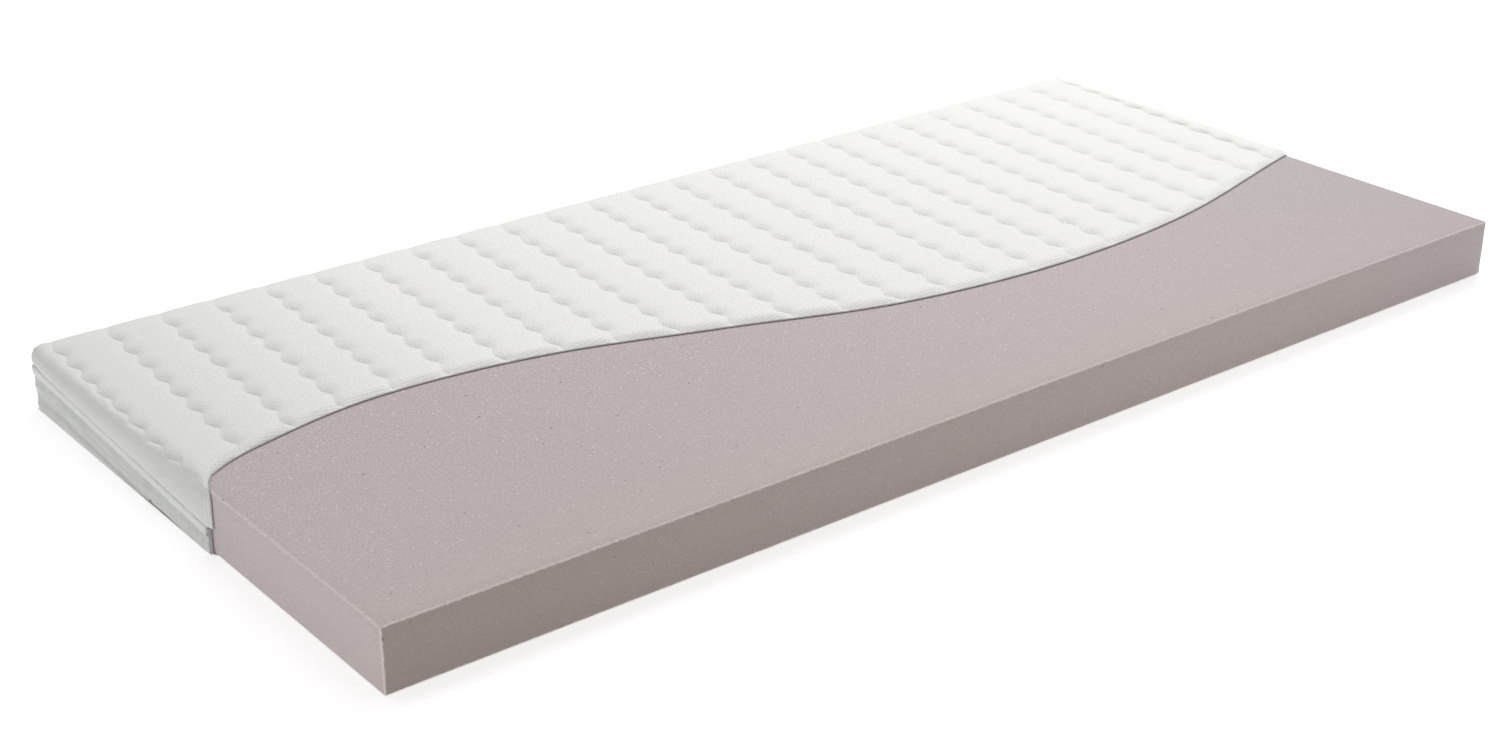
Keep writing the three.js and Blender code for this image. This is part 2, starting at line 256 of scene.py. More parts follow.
def pipe(outer, inner):
    """Points and faces of a hollow pipe with flat ends."""
    rows, columns = outer.shape[:2]
    count = rows * columns
    ends = []
    for start, order in ((0, 1), ((rows - 1) * columns, -1)):
        ring = start + np.arange(columns)
        following = np.roll(ring, -1)
        ends.append(np.stack([ring, ring + count, following + count, following], axis=-1)[:, ::order])
    faces = np.concatenate([
        grid_faces(rows, columns, around=True),
        grid_faces(rows, columns, count, flip=True, around=True),
        *ends,
    ])
    return np.concatenate([outer.reshape(-1, 3), inner.reshape(-1, 3)]), faces


def new_mesh(name, points, faces, sharp=50):
    """A mesh object in the frame from points around the core's middle."""
    placed = np.array(points, float)
    placed[:, 1] += CORE_MIDDLE.y
    mesh = bpy.data.meshes.new(name)
    mesh.from_pydata(placed.tolist(), [], [list(map(int, face)) for face in faces])
    mesh.validate()
    correct_normals(mesh)
    mesh.polygons.foreach_set("use_smooth", [True] * len(mesh.polygons))
    mesh.set_sharp_from_angle(angle=math.radians(sharp))
    piece = bpy.data.objects.new(name, mesh)
    bpy.context.scene.collection.objects.link(piece)
    return piece


def correct_normals(mesh):
    """Turns all the faces of a closed mesh outwards."""
    work = bmesh.new()
    work.from_mesh(mesh)
    if work.calc_volume(signed=True) < 0:
        bmesh.ops.reverse_faces(work, faces=work.faces)
    work.to_mesh(mesh)
    work.free()


def finish_piece(piece, body, nodes, material):
    """Gives a piece its body and its material, and hides the CAD nodes that it stands for."""
    piece.data.materials.append(material)
    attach(piece, body)
    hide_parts(*nodes)
    return piece


def add_sheet_places(piece, along, across):
    """Stores where each point of both faces lies on the flat cloth, so that a weave follows the cloth."""
    attribute = piece.data.attributes.new("cloth_place", "FLOAT_VECTOR", "POINT")
    places = np.stack(np.broadcast_arrays(along, across, 0.0), axis=-1).reshape(-1, 3)
    attribute.data.foreach_set("vector", np.concatenate([places, places]).astype(np.float32).ravel())


def smooth_noise(x, y, size, seed):
    """Gentle unevenness from -1 to 1 with features of about the given size."""
    draw = np.random.default_rng(seed)
    total = np.zeros(np.broadcast(x, y).shape)
    waves = 9
    for _ in range(waves):
        angle = draw.uniform(0, math.tau)
        pace = math.tau / size * draw.uniform(0.6, 1.5)
        along_wave = x * math.cos(angle) + y * math.sin(angle)
        total = total + np.sin(pace * along_wave + draw.uniform(0, math.tau))
    return total / math.sqrt(waves * 2)


def ramp(value, low, high):
    """0 below low, 1 above high, and smooth between."""
    share = np.clip((value - low) / (high - low), 0, 1)
    return share * share * (3 - 2 * share)


def unit(vectors):
    """Vectors of length 1 in the same directions."""
    return vectors / np.linalg.norm(vectors, axis=-1, keepdims=True)


# ---- lines of the cover

def smooth_line(points, steps):
    """A Catmull-Rom line through the points."""
    padded = np.concatenate([points[:1], points, points[-1:]])
    share = np.linspace(0, 1, steps, endpoint=False)[:, None]
    weights = np.hstack([
        2 * share**3 - 3 * share**2 + 1,
        share**3 - 2 * share**2 + share,
        3 * share**2 - 2 * share**3,
        share**3 - share**2,
    ])
    parts = []
    for before, start, end, after in zip(padded, padded[1:], padded[2:], padded[3:]):
        parts.append(weights @ [start, (end - before) / 2, end, (after - start) / 2])
    return np.concatenate([*parts, points[-1:]])


CUT_CURVE = smooth_line(CUT_LINE, CUT_STEPS)


def cut_at(x):
    """Place across the mattress of the cut line."""
    return np.interp(x, CUT_CURVE[:, 0], CUT_CURVE[:, 1])


def piping_height(x, y):
    """Height of the piping's centre line at a place on the ends or far side."""
    share = np.clip((CORNER_START - y) / (CORNER_START - CUT_AT_ENDS), 0, 1)
    at_cut = np.where(x < 0, PIPING_LEFT, PIPING_RIGHT)
    return PIPING_FAR + (at_cut - PIPING_FAR) * share


def panel_drop(x, y):
    """Length of cloth from the top of a shoulder down to the seam above the piping."""
    seam = piping_height(x, y) + PIPING_HALF_HEIGHT + GAP
    return SHOULDER_LENGTH + BEND_Z - seam


def row_line(row, y):
    """Middle line of a quilting row, or the panel's own edge before the first row and after the last."""
    line = ROW_FIRST + row * ROW_PITCH - ROW_LEAN * (ROW_FAR - y)
    left_edge = -BEND_X - panel_drop(-1.0, y)
    right_edge = BEND_X + panel_drop(1.0, y)
    return np.where(row < 0, left_edge, np.where(row >= ROW_COUNT, right_edge, line))


def row_wave(y):
    """How far a row of stitches swings to the side of its line."""
    return WAVE_HEIGHT * np.cos(math.tau * (ROW_FAR - y) / WAVE_LENGTH)


def wrapped(along, across, reach, bend):
    """Where a place on the flat cloth lies when the cloth is wrapped over the core's shoulders.

    Returns the points and the directions outwards from the core.
    """
    past_end = np.maximum(np.abs(along) - BEND_X, 0)
    past_far = np.maximum(across - BEND_Y, 0)
    past = np.maximum(past_end, past_far)
    safe = np.maximum(past, 1e-9)
    turn = np.where(past_end >= past_far, past_far / safe, 2 - past_end / safe) * math.pi / 4
    tilt = np.minimum(past / SHOULDER_LENGTH, 1) * math.pi / 2
    outwards = np.stack([
        np.sign(along) * np.sin(tilt) * np.cos(turn),
        np.sin(tilt) * np.sin(turn),
        np.cos(tilt),
    ], axis=-1)
    size = (np.abs(outwards) ** bend[..., None]).sum(-1) ** (1 / bend)
    distance = (SHOULDER + reach) / size
    centre = np.stack([
        np.clip(along, -BEND_X, BEND_X),
        np.minimum(across, BEND_Y),
        BEND_Z - np.maximum(past - SHOULDER_LENGTH, 0),
    ], axis=-1)
    return centre + distance[..., None] * outwards, outwards


# ---- quilted panel

def channel_shares():
    """Places of the grid's columns across one channel, closer together beside the stitches."""
    steps = np.concatenate([CHANNEL_STEPS, CHANNEL_STEPS[::-1]])
    return np.concatenate([[0], np.cumsum(steps)[:-1]]) / steps.sum()


class Panel:
    """The grid of points that all the layers of the quilted panel share."""

    def __init__(self, rows_on_top=128, rows_down=10):
        shares = channel_shares()
        channels = np.arange(-1, ROW_COUNT)
        self.channel = np.append(np.repeat(channels, len(shares)), ROW_COUNT - 1)[None, :]
        self.share = np.append(np.tile(shares, len(channels)), 1.0)[None, :]
        start = np.zeros_like(self.share)
        for _ in range(CUT_ROUNDS):
            start = (start + cut_at(self.along_at(start))) / 2
        far_edge = BEND_Y + panel_drop(0.0, CORNER_START)
        top = np.linspace(0, 1, rows_on_top, endpoint=False)[:, None]
        down = np.linspace(0, 1, rows_down + 1)[:, None]
        self.across = np.concatenate([
            start + (BEND_Y - start) * top,
            BEND_Y + (far_edge - BEND_Y) * down + 0 * start,
        ])
        self.from_cut = self.across - start
        self.to_seam = far_edge - self.across
        self.along = self.along_at(self.across)
        self.puff = self.puffiness()

    def to_rows(self, across):
        """Distances to the rows of stitches before and after. The panel's own edges count as far away."""
        span = row_line(self.channel + 1, across) - row_line(self.channel, across)
        before = span * self.share + np.where(self.channel < 0, FAR_AWAY, 0.0)
        after = span * (1 - self.share) + np.where(self.channel >= ROW_COUNT - 1, FAR_AWAY, 0.0)
        return before, after

    def along_at(self, across):
        """Place along the mattress of each column, which follows the wave of the rows beside it."""
        start = row_line(self.channel, across)
        span = row_line(self.channel + 1, across) - start
        before, after = self.to_rows(across)
        last = (self.channel == ROW_COUNT - 1) & (self.share == 1)
        fade = np.where(last, 0.0, np.exp(-before / WAVE_FADE) + np.exp(-after / WAVE_FADE))
        return start + span * self.share + row_wave(across) * fade

    def puffiness(self):
        """How full each place is, from 0 on a row of stitches to 1 on a crown."""
        rise = 1 - np.exp(-np.minimum(*self.to_rows(self.across)) / ROW_RISE)
        leaning_back = 0.5 + 0.5 * np.sin(math.tau * (ROW_FAR - self.across) / WAVE_LENGTH)
        rise = rise + (1 - rise) * SHALLOW_SHARE * leaning_back
        over = np.sin(math.pi * np.clip(self.share, 0, 1))
        arch = ARCH_LOW + (1 - ARCH_LOW) * over ** ARCH_ROUNDNESS
        pinch_cut = CUT_PINCH + (1 - CUT_PINCH) * ramp(self.from_cut, 0, CUT_PINCH_REACH)
        to_end_seam = panel_drop(self.along, self.across) + BEND_X - np.abs(self.along)
        to_edge = np.minimum(self.to_seam, to_end_seam)
        pinch_seam = SEAM_PINCH + (1 - SEAM_PINCH) * ramp(to_edge, 0, SEAM_PINCH_REACH)
        at_shoulder = ramp(self.across, SHOULDER_STARTS, SHOULDER_ENDS)
        rise = rise + (1 - rise) * SHOULDER_SHALLOW * at_shoulder
        stretched = 1 - SHOULDER_STRETCH * at_shoulder
        uneven = 1 + PUFF_UNEVENNESS * smooth_noise(self.along, self.across, size=0.06, seed=3)
        end_roll = END_ROLL * (1 - ramp(self.across, ROLL_FADES, BEND_Y))
        roll = np.where(self.channel < 0, 1 + end_roll * over ** 0.5, 1)
        return rise * arch * pinch_cut * pinch_seam * stretched * uneven * roll

    def surface(self):
        """The outer face of the knit, and its directions outwards."""
        reach = VALLEY_REACH + (CROWN_REACH - VALLEY_REACH) * self.puff
        bend = TIGHT_BEND + (FULL_BEND - TIGHT_BEND) * np.clip(self.puff, 0, 1)
        return wrapped(self.along, self.across, reach, bend)

    def flat_size(self):
        """Width, length and area of the panel as it is cut."""
        width = self.across.max() - self.across.min()
        length = self.along.max() - self.along.min()
        across_step = np.diff(self.across, axis=0)[:, :-1]
        along_step = np.diff(self.along, axis=1)[:-1]
        return width, length, float((across_step * along_step).sum())


def settled(outer, panel):
    """The knit after a cloth simulation: a little slack is blown out between the stitches, which hold it.

    The edges and the rows of stitches stay where they are, so the slack along them puckers.
    """
    rows, columns = outer.shape[:2]
    piece = new_mesh("settling_cloth", outer.reshape(-1, 3), grid_faces(rows, columns))
    stitched = np.zeros((rows, columns), bool)
    stitched[:, panel.share[0] == 0] = True
    stitched[[0, -1], :] = True
    stitched[:, [0, -1]] = True
    held = piece.vertex_groups.new(name="held")
    held.add(np.flatnonzero(stitched).tolist(), 1.0, "REPLACE")
    cloth = piece.modifiers.new("settle", "CLOTH")
    cloth.settings.vertex_group_mass = held.name
    cloth.settings.effector_weights.gravity = 0
    for name, value in SETTLE_CLOTH.items():
        setattr(cloth.settings, name, value)
    cloth.collision_settings.use_collision = False
    cloth.point_cache.frame_start = 1
    cloth.point_cache.frame_end = SETTLE_FRAMES
    scene = bpy.context.scene
    for number in range(1, SETTLE_FRAMES + 1):
        scene.frame_set(number)
    result = piece.evaluated_get(bpy.context.evaluated_depsgraph_get()).data
    moved = np.zeros(rows * columns * 3)
    result.vertices.foreach_get("co", moved)
    moved = moved.reshape(rows, columns, 3)
    moved[..., 1] -= CORE_MIDDLE.y
    scene.frame_set(1)
    bpy.data.objects.remove(piece)
    change = moved - outer
    size = np.linalg.norm(change, axis=-1, keepdims=True)
    return outer + change * np.minimum(1, SETTLE_LIMIT / np.maximum(size, 1e-9))


def panel_layer(layer, outer, inner, panel, materials):
    """One layer of the quilted panel between its two faces."""
    name = "cover_top_" + layer
    piece = new_mesh(name + "_cloth", *shell(outer, inner))
    add_sheet_places(piece, panel.along, panel.across)
    return finish_piece(piece, "cover_top", [name], materials[layer])


def quilted_panel(panel, materials):
    """The knit, the wadding and the backing. Returns the knit's outer points and directions outwards."""
    outer, outwards = panel.surface()
    outer = settled(outer, panel)
    knit_inner = outer - outwards * KNIT_THICKNESS
    wadding_outer = knit_inner - outwards * LAYER_GAP
    level = np.zeros_like(panel.puff)
    wadding_inner, backing_outer, backing_inner = (
        wrapped(panel.along, panel.across, level + reach, level + TIGHT_BEND)[0]
        for reach in (WADDING_INNER, BACKING_OUTER, BACKING_INNER)
    )
    knit = panel_layer("knit", outer, knit_inner, panel, materials)
    wadding = panel_layer("wadding", wadding_outer, wadding_inner, panel, materials)
    backing = panel_layer("backing", backing_outer, backing_inner, panel, materials)
    width, length, area = panel.flat_size()
    return outer, outwards


# ---- foam core

def foam_block(material):
    """The core: a crisp block whose faces and edges are slightly uneven, as cut foam is."""
    work = bmesh.new()
    bmesh.ops.create_cube(work, size=1)
    size = (2 * HALF_LENGTH, 2 * HALF_WIDTH, CORE_TOP - CORE_BOTTOM)
    bmesh.ops.scale(work, vec=size, verts=work.verts)
    for axis in range(3):
        normal = Vector([float(axis == other) for other in range(3)])
        count = max(2, round(size[axis] / FOAM_CELL))
        for step in range(1, count):
            place = normal * (size[axis] * (step / count - 0.5))
            geometry = work.verts[:] + work.edges[:] + work.faces[:]
            bmesh.ops.bisect_plane(work, geom=geometry, plane_co=place, plane_no=normal)
    sharp = [edge for edge in work.edges if edge.calc_face_angle() > 1]
    bmesh.ops.bevel(work, geom=sharp, offset=CORE_EDGE, segments=4, profile=0.5, affect="EDGES")
    work.normal_update()
    mesh = bpy.data.meshes.new("foam")
    work.to_mesh(mesh)
    work.free()
    points = np.array([vertex.co for vertex in mesh.vertices])
    normals = np.array([vertex.normal for vertex in mesh.vertices])
    x, y, z = points.T
    uneven = FOAM_UNEVENNESS * np.abs(smooth_noise(x + z, y - z, size=0.11, seed=5))
    points = points - normals * (uneven[:, None] + FOAM_INSET)
    points[:, 2] += (CORE_BOTTOM + CORE_TOP) / 2
    faces = [list(polygon.vertices) for polygon in mesh.polygons]
    bpy.data.meshes.remove(mesh)
    piece = new_mesh("foam_block", points, faces, sharp=60)
    finish_piece(piece, "base", ["foam_core"], material)


# ---- pieces around the sides

def side_route(reach, step, start_y, end_y):
    """Stations round the left end, far side and right end, at a distance from the core.

    Returns the places, the directions outwards and the length walked.
    """
    radius = CORNER_RADIUS + reach
    centre_x = HALF_LENGTH - CORNER_RADIUS
    corner = math.pi / 2 * radius
    legs = [CORNER_START - start_y, corner, 2 * centre_x, corner, CORNER_START - end_y]
    marks = np.concatenate([[0], np.cumsum(legs)])
    walked = np.linspace(0, marks[-1], math.ceil(marks[-1] / step) + 1)
    leg = np.clip(np.searchsorted(marks, walked, side="right") - 1, 0, 4)
    done = walked - marks[leg]
    turn = np.select(
        [leg == 0, leg == 1, leg == 2, leg == 3],
        [0, done / radius, math.pi / 2, math.pi / 2 + done / radius],
        math.pi,
    )
    outwards = np.stack([-np.cos(turn), np.sin(turn)], axis=-1)
    middle_x = np.select([leg <= 1, leg == 2], [-centre_x, -centre_x + done], centre_x)
    middle_y = np.select([leg == 0, leg == 4], [start_y + done, CORNER_START - done], CORNER_START)
    flat = np.stack([middle_x, middle_y], axis=-1) + radius * outwards
    return flat, outwards, walked


def swept(flat, outwards, reach, height):
    """A row of points at each station of a route, at distances outwards from it and at heights."""
    reach, height = np.broadcast_arrays(reach, height)
    plan = flat[:, None, :] + outwards[:, None, :] * reach[..., None]
    return np.concatenate([plan, height[..., None]], axis=-1)


def oval(half_depth, half_height, sides, squareness):
    """Points round a section between a rectangle and an ellipse, as offsets outwards and up."""
    turn = np.linspace(0, math.tau, sides, endpoint=False)
    across = np.sign(np.cos(turn)) * np.abs(np.cos(turn)) ** squareness
    up = np.sign(np.sin(turn)) * np.abs(np.sin(turn)) ** squareness
    return half_depth * across, half_height * up


def piping(materials):
    """The rolled sleeve under the quilted panel, and the cord inside it."""
    ends = [cut_at(side * HALF_LENGTH) + BINDING_SPACE for side in (-1, 1)]
    flat, outwards, walked = side_route(PIPING_REACH, PIPING_STEP, *ends)
    wobble = PIPING_WOBBLE * smooth_noise(walked, 0 * walked, size=0.14, seed=12)
    height = (piping_height(flat[:, 0], flat[:, 1]) + wobble)[:, None]
    depth, rise = oval(PIPING_HALF_DEPTH, PIPING_HALF_HEIGHT, PIPING_SIDES, 0.75)
    turn = np.linspace(0, math.tau, PIPING_SIDES, endpoint=False)
    pull = PIPING_PULL * smooth_noise(walked[:, None], 0.01 * turn, size=0.017, seed=11)
    grown = 1 + pull / PIPING_HALF_DEPTH
    outer = swept(flat, outwards, depth * grown, height + rise * grown)
    shrink = 1 - PIPING_SKIN / PIPING_HALF_DEPTH
    inner_rise = rise * (1 - PIPING_SKIN / PIPING_HALF_HEIGHT)
    inner = swept(flat, outwards, depth * shrink, height + inner_rise)
    sleeve = new_mesh("piping_sleeve_roll", *pipe(outer, inner))
    add_sheet_places(sleeve, walked[:, None], turn / math.tau * PIPING_GIRTH)
    finish_piece(sleeve, "cover_top", ["piping_sleeve"], materials["piping"])
    cord_scale = shrink * CORD_SHARE
    twist = STRAND_DEPTH * np.sin(STRANDS * turn + walked[:, None] / STRAND_PITCH)
    cord_depth = depth * cord_scale + twist * np.cos(turn)
    cord_rise = rise * cord_scale + twist * np.sin(turn)
    cord = new_mesh("piping_cord_core", *tube(swept(flat, outwards, cord_depth, height + cord_rise)))
    finish_piece(cord, "cover_top", ["piping_cord"], materials["cord"])


def strip_route(step, low, high, least_height):
    """Stations of a strip between two offsets from the zip's centre line, down to the core's underside.

    Returns the places, the directions outwards, the length walked, and the bottom and top of the strip.
    """
    ends = [cut_at(side * HALF_LENGTH) + GAP for side in (-1, 1)]
    flat, outwards, walked = side_route(0.0, step, *ends)
    zip_height = piping_height(flat[:, 0], flat[:, 1]) - ZIP_DROP
    bottom = np.maximum(zip_height + low, CORE_BOTTOM)
    top = zip_height + high
    shown = top > bottom + least_height
    return [values[shown] for values in (flat, outwards, walked, bottom, top)]


def border_band(name, low, high, material, body):
    """A ribbed band of the border between two offsets from the zip's centre line."""
    flat, outwards, walked, bottom, top = strip_route(RIB_PITCH / RIB_SAMPLES, low, high, LEAST_BAND)
    share = np.linspace(0, 1, 10)[None, :]
    rib = RIB_DEPTH * np.cos(math.tau * walked / RIB_PITCH)[:, None]
    slack = BORDER_SLACK * smooth_noise(walked[:, None], 0.3 * share, size=0.11, seed=21)
    bulge = (BORDER_BULGE + slack) * np.sin(math.pi * share)
    hem = 1 - ramp(share, 0, HEM_SHARE) + ramp(share, 1 - HEM_SHARE, 1)
    reach = BORDER_REACH + bulge - HEM_DIP * hem
    height = bottom[:, None] + (top - bottom)[:, None] * share
    outer = swept(flat, outwards, reach + rib, height)
    inner = swept(flat, outwards, reach - BORDER_THICKNESS, height)
    piece = new_mesh(name + "_cloth", *shell(outer, inner), sharp=75)
    add_sheet_places(piece, walked[:, None], height)
    finish_piece(piece, body, [name], material)


def zip_tape(name, low, high, material, body):
    """A woven strip that carries one half of the zip."""
    flat, outwards, walked, bottom, top = strip_route(TAPE_STEP, low, high, LEAST_TAPE)
    share = np.linspace(0, 1, 5)[None, :]
    height = bottom[:, None] + (top - bottom)[:, None] * share
    layers = [swept(flat, outwards, reach, height) for reach in TAPE_REACHES]
    piece = new_mesh(name + "_weave", *shell(*layers), sharp=40)
    add_sheet_places(piece, walked[:, None], height)
    finish_piece(piece, body, [name], material)


def zip_coil(name, side, material, body):
    """Half of the zip: a spiral of plastic wire between the stops."""
    slope = (PIPING_FAR - PIPING_LEFT) / (CORNER_START - CUT_AT_ENDS)
    start = CORNER_START - (PIPING_FAR - ZIP_DROP - LOWEST_COIL) / slope
    end = cut_at(HALF_LENGTH) + GAP + STOP_SPACE
    flat, outwards, walked = side_route(COIL_REACH, COIL_PITCH / COIL_SAMPLES, start, end)
    zip_height = piping_height(flat[:, 0], flat[:, 1]) - ZIP_DROP
    turn = math.tau * walked / COIL_PITCH
    height = zip_height + side * (COIL_FROM_MIDDLE + COIL_RADIUS * np.sin(turn))
    reach = COIL_RADIUS * np.cos(turn)
    centre = swept(flat, outwards, reach[:, None], height[:, None])[:, 0]
    forward = unit(np.gradient(centre, axis=0))
    first = unit(np.cross(forward, np.pad(outwards, ((0, 0), (0, 1)))))
    second = np.cross(forward, first)
    angles = (np.linspace(0, math.tau, 4, endpoint=False) + math.pi / 4)[None, :, None]
    ring = np.cos(angles) * first[:, None] + np.sin(angles) * second[:, None]
    rings = centre[:, None] + COIL_WIRE * ring
    piece = new_mesh(name + "_wire", *tube(rings), sharp=80)
    finish_piece(piece, body, [name], material)


# ---- stitches and binding

def walked_along(points):
    """Distance walked along a path to each of its points."""
    steps = np.linalg.norm(np.diff(points, axis=0), axis=1)
    return np.concatenate([[0], np.cumsum(steps)])


def values_along(at, walked, values):
    """The columns of values at other distances walked along their path."""
    return np.stack([np.interp(at, walked, column) for column in values.T], axis=1)


def quilting_row(row, panel, outer, outwards, material):
    """One row of stitches in its valley, each stitch a short bar that dips into the cloth at its ends."""
    column = (row + 1) * COLUMNS_PER_CHANNEL
    before_end = panel.across[:, column] < BEND_Y + STITCHES_PAST_BEND
    kept = (panel.from_cut[:, column] > STITCHES_FROM_CUT) & before_end
    outwards = outwards[kept, column]
    points = outer[kept, column] + STITCH_LIFT * outwards
    walked = walked_along(points)
    angles = np.linspace(0, math.tau, STITCH_SIDES, endpoint=False)[None, :, None]
    all_points = []
    all_faces = []
    for index in range(int(walked[-1] // STITCH_PITCH)):
        start = index * STITCH_PITCH + STITCH_SPACE / 2
        at = start + (STITCH_PITCH - STITCH_SPACE) * STITCH_PLACES
        up = values_along(at, walked, outwards)
        centre = values_along(at, walked, points) - up * STITCH_DIPS[:, None]
        sideways = np.cross(unit(centre[-1] - centre[0]), up)
        ring = np.cos(angles) * sideways[:, None] + np.sin(angles) * up[:, None]
        bar, faces = tube(centre[:, None] + STITCH_RADII[:, None, None] * ring)
        offset = index * len(bar)
        all_faces += [[offset + corner for corner in face] for face in faces]
        all_points.append(bar)
    name = f"quilting_row_{row + 1:02d}"
    piece = new_mesh(name + "_stitches", np.concatenate(all_points), all_faces, sharp=80)
    finish_piece(piece, "cover_top", [name], material)


def binding(name, body, stations, material):
    """An overlocked edge along the cut, dark partly from its own grey thread and partly as painted shade: a
    rounded strip with a bump at each loop of thread.

    A station is a place, the directions outwards and forwards, and the two reaches of the strip.
    """
    walked = walked_along(stations[:, :3])
    at = np.linspace(0, walked[-1], max(8, int(walked[-1] / LOOP_PITCH * LOOP_SAMPLES)))
    centre, up, ahead, low, high = np.split(values_along(at, walked, stations), [3, 6, 9, 10], axis=1)
    swell = np.cos(math.tau * at / LOOP_PITCH)[:, None]
    depth, rise = oval(BINDING_HALF_DEPTH, 1.0, BINDING_SIDES, 0.7)
    forwards = BINDING_FORWARD + depth * (1 + LOOP_BUMP * swell)
    loop_rise = 1 + LOOP_RISE * LOOP_BUMP * swell
    reach = (high + low) / 2 + (high - low) / 2 * rise * loop_rise
    offsets = unit(ahead)[:, None] * forwards[..., None] + unit(up)[:, None] * reach[..., None]
    piece = new_mesh(name + "_tape", *tube(centre[:, None] + offsets), sharp=80)
    finish_piece(piece, body, [name], material)


def seam_and_zip(side):
    """Heights of the seam above the piping and of the zip's middle, where the cut meets an end."""
    x = side * HALF_LENGTH
    height = float(piping_height(x, cut_at(x)))
    return height + PIPING_HALF_HEIGHT + GAP, height - ZIP_DROP


def end_stations(side, top, bottom, count):
    """Stations of a binding that runs straight down the cut on an end of the mattress."""
    x = side * HALF_LENGTH
    heights = np.linspace(top, bottom, count)
    place = [(x, cut_at(x), height) for height in heights]
    outwards = np.tile([side, 0.0, 0.0], (count, 1))
    forwards = np.tile([0.0, -1.0, 0.0], (count, 1))
    reaches = np.tile([BINDING_LOW, BINDING_HIGH], (count, 1))
    return np.hstack([place, outwards, forwards, reaches])


def cut_edge_bindings(panel, outer, outwards, material):
    """The binding along the whole cut edge of the cover, and the short one left on the lower band."""
    edge = outer[0]
    up = outwards[0]
    forwards = np.cross(up, unit(np.gradient(edge, axis=0)))
    forwards *= np.sign(-forwards[:, 1:2])
    level = np.zeros((1, len(edge)))
    on_core = wrapped(panel.along[:1], panel.across[:1], level, level + TIGHT_BEND)[0][0]
    reach = ((edge - on_core) * up).sum(1, keepdims=True)
    low = np.full_like(reach, BINDING_LOW)
    over_top = np.hstack([edge - up * reach, up, forwards, low, reach - BINDING_UNDER_KNIT])
    left_seam, _ = seam_and_zip(-1)
    right_seam, right_zip = seam_and_zip(1)
    left = end_stations(-1, left_seam, CORE_BOTTOM, 14)[:0:-1]
    right = end_stations(1, right_seam, right_zip + ZIP_HALF_WINDOW, 14)[1:]
    binding("cut_edge_binding", "cover_top", np.concatenate([left, over_top, right]), material)
    lower = end_stations(1, right_zip - ZIP_HALF_WINDOW, CORE_BOTTOM, 16)
    binding("cut_edge_binding_lower", "base", lower, material)


def base_panel(material):
    """The thin cloth under the core, wide enough to meet the border where the cover is whole."""
    low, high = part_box("base_panel")
    share_along = np.linspace(-1, 1, 160)
    share_across = np.linspace(0, 1, 60)[:, None]
    wide = HALF_LENGTH + BORDER_REACH
    narrow = HALF_LENGTH - BASE_INSET
    near = -HALF_WIDTH + BASE_INSET
    across = near + (HALF_WIDTH + BORDER_REACH - near) * share_across
    cut = cut_at(wide * share_along)
    behind = ramp(across, cut - 0.001, cut + 0.001)
    along, across = np.broadcast_arrays(share_along * (narrow + (wide - narrow) * behind), across)
    wrinkle = BASE_WRINKLE * smooth_noise(along, across, size=0.05, seed=31)
    top = np.stack([along, across, np.full_like(along, high.z)], axis=-1)
    bottom = np.stack([along, across, low.z + BASE_LIFT + wrinkle], axis=-1)
    piece = new_mesh("base_panel_cloth", *shell(top, bottom))
    add_sheet_places(piece, along, across)
    finish_piece(piece, "base", ["base_panel"], material)


# ---- materials

def linear(red, green, blue):
    """A colour for a shader from the 0 to 255 values of a screen."""
    values = [channel / 255 for channel in (red, green, blue)]
    return [v / 12.92 if v <= 0.04045 else ((v + 0.055) / 1.055) ** 2.4 for v in values] + [1.0]


